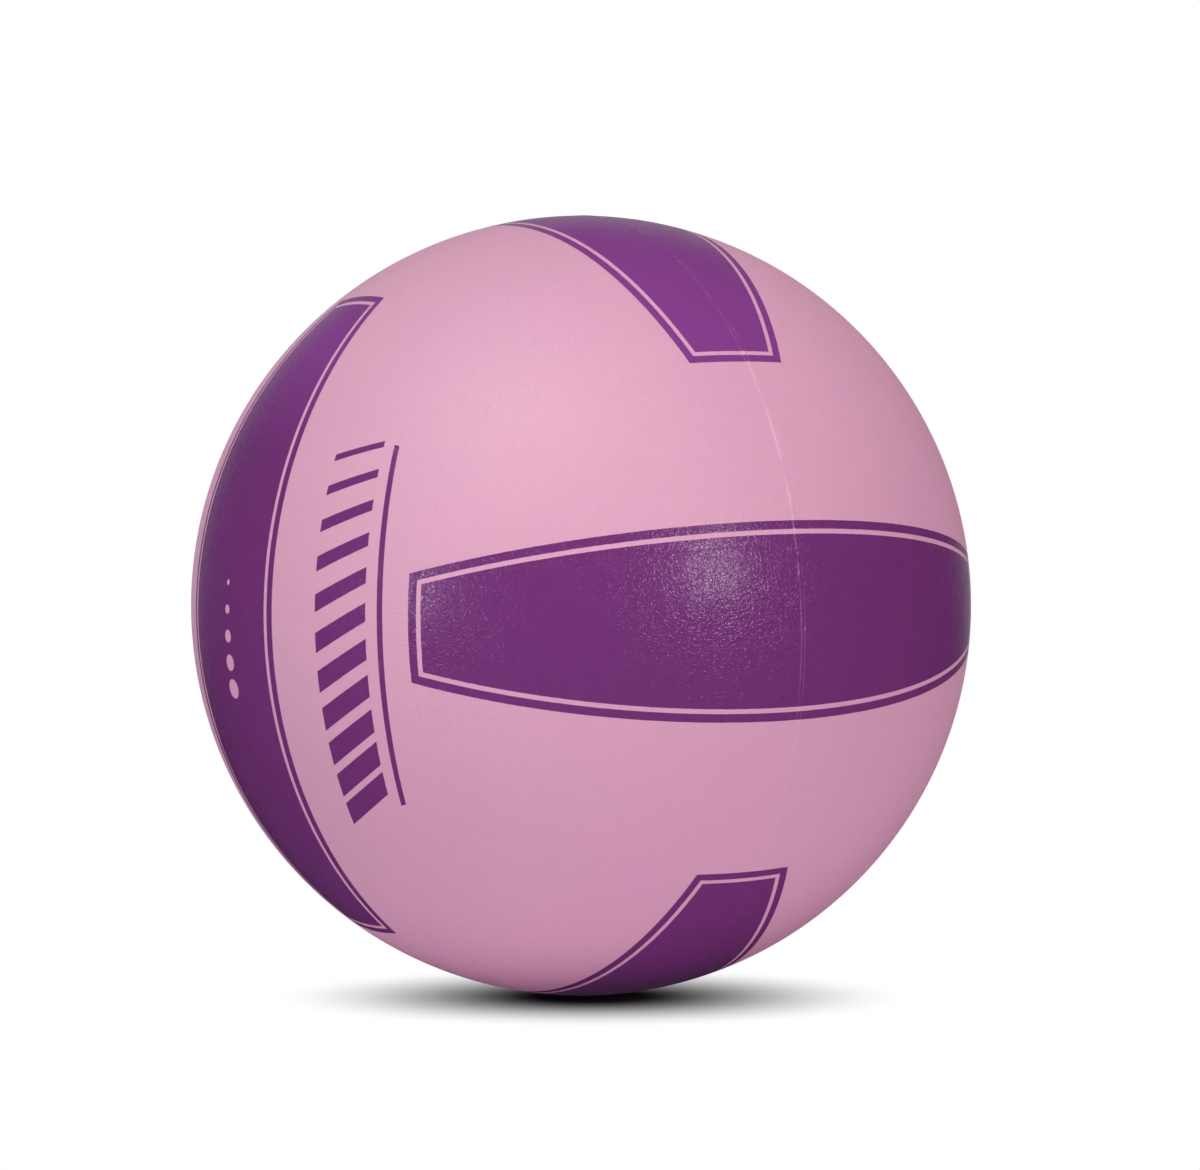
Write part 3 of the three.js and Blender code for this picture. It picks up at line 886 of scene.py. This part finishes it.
def lay_out_print(tree):
    """Ink as the distance inside the printed shapes, positive within them. A union is the larger
    distance, a common part the smaller, and a cut-out the smaller of one and the other's negative."""
    start = tree.nodes.new("NodeGroupInput").outputs["Place"]
    place = wired(tree, "Mapping", {"Vector": start}, vector_type="TEXTURE")
    place.inputs["Rotation"].default_value = [radians(angle) for angle in PRINT_ASKEW]
    away = wired(tree, "VectorMath", {0: place.outputs[0]}, operation="NORMALIZE").outputs[0]
    apart = wired(tree, "VectorMath", {0: away}, operation="ABSOLUTE").outputs[0]
    x, y, z = wired(tree, "SeparateXYZ", {0: apart}).outputs
    real_x, real_y, real_z = wired(tree, "SeparateXYZ", {0: away}).outputs

    def folded(out, along, across, mask):
        joined = wired(tree, "CombineXYZ", {0: out, 1: along, 2: across}).outputs[0]
        scaled = wired(tree, "VectorMath", {0: joined, "Scale": mask}, operation="SCALE")
        return scaled.outputs[0]

    def belongs(out, across):
        over_the_end = math(tree, "GREATER_THAN", out, FACE_EDGE)
        return math(tree, "MULTIPLY", over_the_end, math(tree, "LESS_THAN", across, FACE_EDGE))

    front = folded(x, y, z, belongs(x, z))
    side = folded(y, z, x, belongs(y, x))
    top = folded(z, x, y, belongs(z, y))
    pair = wired(tree, "VectorMath", {0: front, 1: side}, operation="ADD").outputs[0]
    face = wired(tree, "VectorMath", {0: pair, 1: top}, operation="ADD").outputs[0]
    out, along, across = wired(tree, "SeparateXYZ", {0: face}).outputs

    longitude = math(tree, "ARCTAN2", along, out)
    latitude = math(tree, "ARCSINE", across)
    longitude_squared = math(tree, "MULTIPLY", longitude, longitude)
    latitude_squared = math(tree, "MULTIPLY", latitude, latitude)
    half_width = math(tree, "MULTIPLY_ADD", longitude_squared, -BAND_NARROWING, BAND_HALF_WIDTH)
    half_length = math(tree, "MULTIPLY_ADD", latitude_squared, -BAND_END_ROUNDING, BAND_HALF_LENGTH)
    inside_band = smallest(
        tree,
        math(tree, "SUBTRACT", half_width, latitude),
        math(tree, "SUBTRACT", half_length, longitude),
    )
    inside_band = math(tree, "MULTIPLY", inside_band, BALL_RADIUS)
    outside_bare_line = math(
        tree,
        "MAXIMUM",
        math(tree, "SUBTRACT", BORDER_WIDTH, inside_band),
        math(tree, "SUBTRACT", inside_band, BORDER_WIDTH + BARE_LINE_WIDTH),
    )

    flat_along = math(tree, "DIVIDE", real_z, math(tree, "MULTIPLY", real_y, -1.0))
    flat_across = math(tree, "DIVIDE", real_x, real_y)
    on_left = math(tree, "MULTIPLY", math(tree, "ADD", real_y, LEFT_FACE_FROM), -1.0)

    dot_step = math(tree, "DIVIDE", math(tree, "SUBTRACT", DOTS_TOP, flat_along), DOT_PITCH)
    dot_number = math(tree, "FLOOR", dot_step)
    from_middle = math(tree, "SUBTRACT", math(tree, "SUBTRACT", dot_step, dot_number), 0.5)
    from_middle = math(tree, "MULTIPLY", from_middle, DOT_PITCH)
    aside = math(tree, "SUBTRACT", flat_across, DOTS_PLACE)
    off_dot = math(
        tree,
        "SQRT",
        math(
            tree,
            "ADD",
            math(tree, "MULTIPLY", from_middle, from_middle),
            math(tree, "MULTIPLY", aside, aside),
        ),
    )
    dot_radius = math(tree, "MULTIPLY_ADD", dot_number, DOT_RADIUS_STEP, DOT_RADIUS_TOP)
    inside_dots = smallest(
        tree,
        math(tree, "SUBTRACT", dot_radius, off_dot),
        dot_step,
        math(tree, "SUBTRACT", float(DOT_COUNT), dot_step),
        on_left,
    )

    up_the_slant = math(tree, "SUBTRACT", flat_across, BARS_MIDDLE)
    slanted = math(tree, "MULTIPLY_ADD", up_the_slant, BAR_SLANT, flat_along)
    bar_pitch = 2 * BARS_HALF_LENGTH / BAR_COUNT
    bar_step = math(tree, "DIVIDE", math(tree, "ADD", slanted, BARS_HALF_LENGTH), bar_pitch)
    off_bar = math(tree, "ABSOLUTE", math(tree, "SUBTRACT", math(tree, "FRACT", bar_step), 0.5))
    bar_share = wired(
        tree,
        "MapRange",
        {
            "Value": math(tree, "FLOOR", bar_step),
            "From Max": BAR_COUNT - 1.0,
            "To Min": BAR_SHARE_LOW / 2,
            "To Max": BAR_SHARE_HIGH / 2,
        },
    ).outputs[0]
    inside_bars = smallest(
        tree,
        math(tree, "MULTIPLY", math(tree, "SUBTRACT", bar_share, off_bar), bar_pitch),
        math(tree, "SUBTRACT", BARS_HALF_HEIGHT, math(tree, "ABSOLUTE", up_the_slant)),
        math(tree, "SUBTRACT", BARS_HALF_LENGTH, math(tree, "ABSOLUTE", slanted)),
        on_left,
    )
    off_line = math(tree, "ABSOLUTE", math(tree, "SUBTRACT", flat_across, UNDERLINE_PLACE))
    inside_line = smallest(
        tree,
        math(tree, "SUBTRACT", UNDERLINE_HALF_WIDTH, off_line),
        math(tree, "SUBTRACT", BARS_HALF_LENGTH, math(tree, "ABSOLUTE", flat_along)),
        on_left,
    )
    inside_ornament = math(tree, "MAXIMUM", inside_bars, inside_line)
    inside_ornament = math(tree, "MULTIPLY", inside_ornament, BALL_RADIUS)

    outside_dots = math(tree, "MULTIPLY", inside_dots, -BALL_RADIUS)
    printed_band = smallest(tree, inside_band, outside_bare_line, outside_dots)
    printed = math(tree, "MAXIMUM", printed_band, inside_ornament)
    waver = wired(tree, "TexNoise", {"Vector": start, "Scale": INK_EDGE_WAVER_SCALE, "Detail": 3.0})
    waver_height = math(tree, "SUBTRACT", waver.outputs["Fac"], 0.5)
    wavering = math(tree, "MULTIPLY_ADD", waver_height, INK_EDGE_WAVER, printed)
    ink = wired(
        tree,
        "MapRange",
        {"Value": wavering, "From Min": -INK_EDGE_SOFTNESS, "From Max": INK_EDGE_SOFTNESS},
        interpolation_type="SMOOTHSTEP",
    )
    end = tree.nodes.new("NodeGroupOutput")
    tree.links.new(ink.outputs[0], end.inputs["Ink"])


lay_out_print(print_group)

# Cover finish. Satin pink rubber with a pebble grain from the mould, a paler buffed parting line, and
# ink that is glossier than the rubber and breaks up over the parting line's edges. Towards the top of
# the ball the ink is painted lighter, as painted light from above.
RUBBER_PINK = srgb(221, 164, 193)
RUBBER_PINK_WARM = srgb(223, 166, 191)
BUFFED_PINK = srgb(230, 180, 202)
INK_PURPLE = srgb(112, 49, 115)
INK_PURPLE_THIN = srgb(118, 54, 121)
INK_PURPLE_PAINTED_TOP_LIGHT = srgb(135, 64, 142)
INK_PALE_AT_RIDGE = srgb(150, 88, 152)
RUBBER_ROUGHNESS = 0.50
INK_ROUGHNESS = 0.13
COVER_SPECULAR = 0.4
PEBBLE_SIZE = 0.0010
PEBBLE_VALLEY_SHARE = 0.30
PEBBLE_DEPTH = 0.000040
PEBBLE_WARP, PEBBLE_WARP_SCALE = 0.0030, 420.0
SKIN_SHARE, SKIN_SCALE = 0.6, 1300.0
CLOUD_SCALE, MOTTLE_SCALE, MOTTLE_SHARE = 22.0, 260.0, 0.35
WARM_FROM, WARM_TO = 0.45, 0.9
UNEVEN_BUFFING_SCALE = 180.0
UNEVEN_BUFFING_FROM, UNEVEN_BUFFING_TO = 0.35, 0.65
BUFFED_WITHIN, BUFFED_NOT_BEYOND = 0.0004, 0.0006
PAINTED_TOP_LIGHT_FROM, PAINTED_TOP_LIGHT_TO = 0.045, 0.07
PALE_AT_RIDGE_WITHIN, PALE_AT_RIDGE_NOT_BEYOND = 0.00006, 0.00026
SPECK_SCALE, SPECK_FROM, SPECK_WHERE_PALEST = 1300.0, 0.62, 0.8
ROUGHNESS_SWING = 0.12

cover_rubber, tree, shader = material_of("printed_cover_rubber")
place = wired(tree, "TexCoord").outputs["Object"]
printed = tree.nodes.new("ShaderNodeGroup")
printed.node_tree = print_group
tree.links.new(place, printed.inputs["Place"])

cloud = wired(tree, "TexNoise", {"Vector": place, "Scale": CLOUD_SCALE, "Detail": 4.0})
mottle = wired(tree, "TexNoise", {"Vector": place, "Scale": MOTTLE_SCALE, "Detail": 3.0})
blend = math(tree, "MULTIPLY_ADD", mottle.outputs["Fac"], MOTTLE_SHARE, cloud.outputs["Fac"])
patchy = wired(tree, "MapRange", {"Value": blend, "From Min": WARM_FROM, "From Max": WARM_TO})
pink = wired(
    tree,
    "Mix",
    {0: patchy.outputs[0], 6: RUBBER_PINK, 7: RUBBER_PINK_WARM},
    data_type="RGBA",
).outputs[2]
_, sideways, upward = wired(tree, "SeparateXYZ", {0: place}).outputs
off_parting = math(tree, "ABSOLUTE", sideways)
parting_kept = wired(
    tree,
    "MapRange",
    {
        "Value": upward,
        "From Min": RIDGE_LOW_TO,
        "From Max": RIDGE_LOW_FROM,
        "To Min": RIDGE_LEFT_BELOW,
    },
).outputs[0]
along_parting = wired(tree, "TexNoise", {"Vector": place, "Scale": UNEVEN_BUFFING_SCALE, "Detail": 4.0})
buffed_unevenly = wired(
    tree,
    "MapRange",
    {
        "Value": along_parting.outputs["Fac"],
        "From Min": UNEVEN_BUFFING_FROM,
        "From Max": UNEVEN_BUFFING_TO,
    },
).outputs[0]
on_ridge = wired(
    tree,
    "MapRange",
    {"Value": off_parting, "From Min": BUFFED_NOT_BEYOND, "From Max": BUFFED_WITHIN},
    interpolation_type="SMOOTHSTEP",
).outputs[0]
buffed = math(tree, "MULTIPLY", math(tree, "MULTIPLY", on_ridge, buffed_unevenly), parting_kept)
pink = wired(tree, "Mix", {0: buffed, 6: pink, 7: BUFFED_PINK}, data_type="RGBA").outputs[2]
purple = wired(
    tree,
    "Mix",
    {0: mottle.outputs["Fac"], 6: INK_PURPLE, 7: INK_PURPLE_THIN},
    data_type="RGBA",
).outputs[2]
# Painted light: the ink is made lighter towards the top of the ball, where the light falls from above.
painted_top_light = wired(
    tree,
    "MapRange",
    {"Value": upward, "From Min": PAINTED_TOP_LIGHT_FROM, "From Max": PAINTED_TOP_LIGHT_TO},
)
purple = wired(
    tree,
    "Mix",
    {0: painted_top_light.outputs[0], 6: purple, 7: INK_PURPLE_PAINTED_TOP_LIGHT},
    data_type="RGBA",
).outputs[2]
# The ink is paler along both edges of the parting ridge, unevenly and less on the lower half, and open
# in specks where it is palest.
near_edge = math(tree, "ABSOLUTE", math(tree, "SUBTRACT", off_parting, RIDGE_HALF_WIDTH))
on_edge = wired(
    tree,
    "MapRange",
    {"Value": near_edge, "From Min": PALE_AT_RIDGE_NOT_BEYOND, "From Max": PALE_AT_RIDGE_WITHIN},
    interpolation_type="SMOOTHSTEP",
).outputs[0]
pale_at_ridge = math(tree, "MULTIPLY", math(tree, "MULTIPLY", on_edge, buffed_unevenly), parting_kept)
purple = wired(tree, "Mix", {0: pale_at_ridge, 6: purple, 7: INK_PALE_AT_RIDGE}, data_type="RGBA").outputs[2]
specks = wired(tree, "TexNoise", {"Vector": place, "Scale": SPECK_SCALE, "Detail": 2.0})
missing = math(
    tree,
    "MULTIPLY",
    math(tree, "GREATER_THAN", pale_at_ridge, SPECK_WHERE_PALEST),
    math(tree, "GREATER_THAN", specks.outputs["Fac"], SPECK_FROM),
)
ink = math(tree, "MULTIPLY", printed.outputs["Ink"], math(tree, "SUBTRACT", 1.0, missing))
shade = wired(tree, "Mix", {0: ink, 6: pink, 7: purple}, data_type="RGBA").outputs[2]
tree.links.new(shade, shader.inputs["Base Color"])

uneven = math(tree, "MULTIPLY_ADD", mottle.outputs["Fac"], ROUGHNESS_SWING, -ROUGHNESS_SWING / 2)
dull = wired(tree, "MapRange", {"Value": ink, "To Min": RUBBER_ROUGHNESS, "To Max": INK_ROUGHNESS})
tree.links.new(math(tree, "ADD", dull.outputs[0], uneven), shader.inputs["Roughness"])
shader.inputs["Specular IOR Level"].default_value = COVER_SPECULAR

warp = wired(tree, "TexNoise", {"Vector": place, "Scale": PEBBLE_WARP_SCALE, "Detail": 3.0})
warped = wired(
    tree,
    "VectorMath",
    {0: warp.outputs["Color"], 1: (PEBBLE_WARP,) * 3, 2: place},
    operation="MULTIPLY_ADD",
).outputs[0]
cells = wired(
    tree,
    "TexVoronoi",
    {"Vector": warped, "Scale": 1 / PEBBLE_SIZE},
    feature="DISTANCE_TO_EDGE",
)
valleys = wired(
    tree,
    "MapRange",
    {"Value": cells.outputs["Distance"], "From Max": PEBBLE_VALLEY_SHARE},
    interpolation_type="SMOOTHSTEP",
)
skin = wired(tree, "TexNoise", {"Vector": place, "Scale": SKIN_SCALE, "Detail": 3.0})
grain = math(tree, "MULTIPLY_ADD", skin.outputs["Fac"], SKIN_SHARE, valleys.outputs[0])
bump = wired(tree, "Bump", {"Height": grain, "Distance": PEBBLE_DEPTH})
tree.links.new(bump.outputs[0], shader.inputs["Normal"])

for face, (_, _, low_side, high_side) in FACES.items():
    for strip, side in (("middle", "middle"), ("low", low_side), ("high", high_side)):
        panel = panel_piece(face, strip, f"{face}_{side}_panel")
        dress(panel, cover_rubber, f"cover_{face}_{side}")
